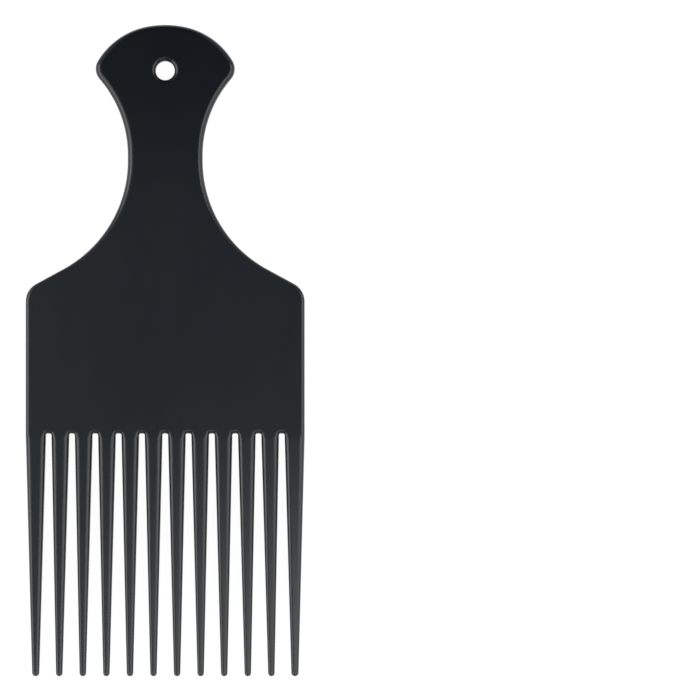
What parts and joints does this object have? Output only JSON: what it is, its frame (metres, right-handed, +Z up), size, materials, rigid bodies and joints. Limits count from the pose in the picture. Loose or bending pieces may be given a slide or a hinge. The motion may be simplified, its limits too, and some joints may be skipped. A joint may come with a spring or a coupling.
{
  "type": "afro pick",
  "caption": "Afro pick in satin black plastic: long tapered teeth on a square-sided blade, a waisted neck and a fan-shaped handle head with a hanging hole.",
  "frame": {"origin": "on the table under the pick, midway along its length and width, on the flat back face", "axes": "+X across the teeth, +Y from the tooth tips to the crown of the handle, +Z up through the thickness"},
  "size_m": [0.0706, 0.165, 0.0042],
  "materials": {
    "black_plastic": "satin moulded black plastic"
  },
  "bodies": {
    "root": {"handle": "black_plastic", "blade": "black_plastic", "tooth_01": "black_plastic", "tooth_02": "black_plastic", "tooth_03": "black_plastic", "tooth_04": "black_plastic", "tooth_05": "black_plastic", "tooth_06": "black_plastic", "tooth_07": "black_plastic", "tooth_08": "black_plastic", "tooth_09": "black_plastic", "tooth_10": "black_plastic", "tooth_11": "black_plastic", "tooth_12": "black_plastic"}
  },
  "joints": []
}
